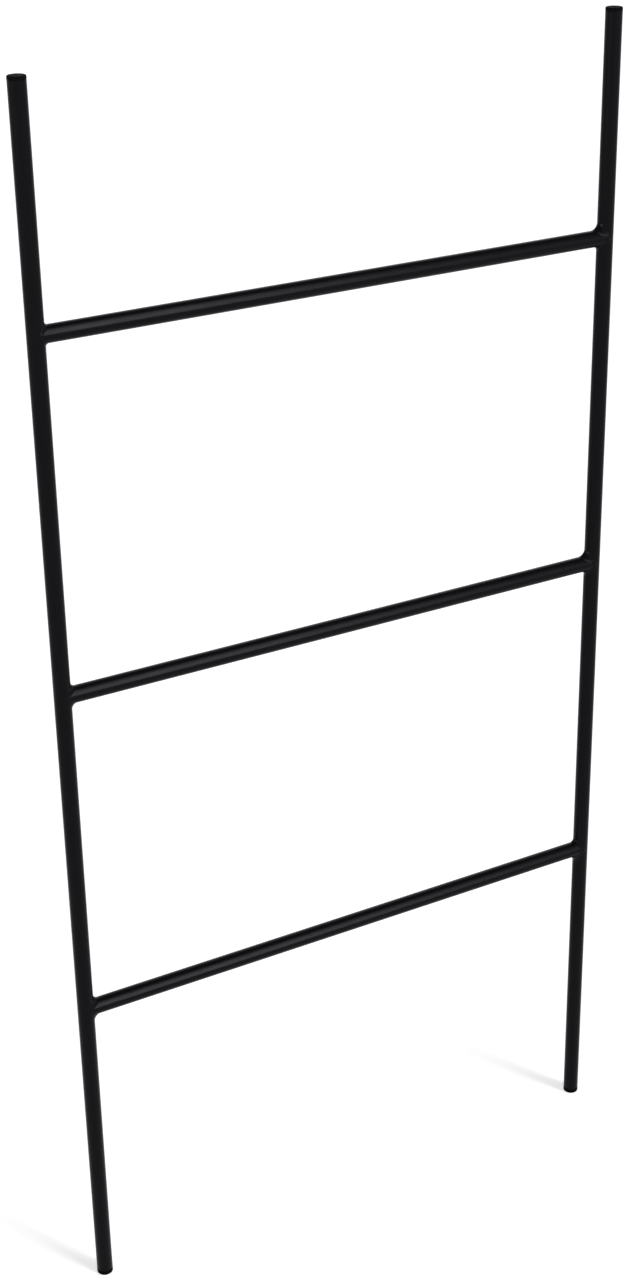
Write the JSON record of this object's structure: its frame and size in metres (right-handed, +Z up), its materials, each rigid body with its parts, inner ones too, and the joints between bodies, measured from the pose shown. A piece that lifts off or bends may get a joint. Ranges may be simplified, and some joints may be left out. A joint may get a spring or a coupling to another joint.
{
  "type": "towel ladder",
  "caption": "Towel ladder that leans on a wall: straight round steel rails joined by welded rungs, powder-coated satin black, with a cap or rubber foot in each rail end.",
  "frame": {"origin": "on the floor, midway between the soles of the two feet", "axes": "+Z up along the rails, +X along the rungs towards the right rail as seen from the front, +Y back towards the wall"},
  "size_m": [0.6, 0.0172, 1.2],
  "materials": {
    "powder_coated_tube": "satin black powder coat on steel tube",
    "powder_coated_weld": "satin black powder coat over a dressed weld bead",
    "cap_plastic": "moulded black plastic with a fine grain",
    "foot_rubber": "matt black rubber"
  },
  "bodies": {
    "root": {"left_rail": "powder_coated_tube", "right_rail": "powder_coated_tube", "lower_rung": "powder_coated_tube", "middle_rung": "powder_coated_tube", "upper_rung": "powder_coated_tube", "lower_rung_left_weld": "powder_coated_weld", "lower_rung_right_weld": "powder_coated_weld", "middle_rung_left_weld": "powder_coated_weld", "middle_rung_right_weld": "powder_coated_weld", "upper_rung_left_weld": "powder_coated_weld", "upper_rung_right_weld": "powder_coated_weld", "left_cap": "cap_plastic", "left_foot": "foot_rubber", "right_cap": "cap_plastic", "right_foot": "foot_rubber"}
  },
  "joints": []
}
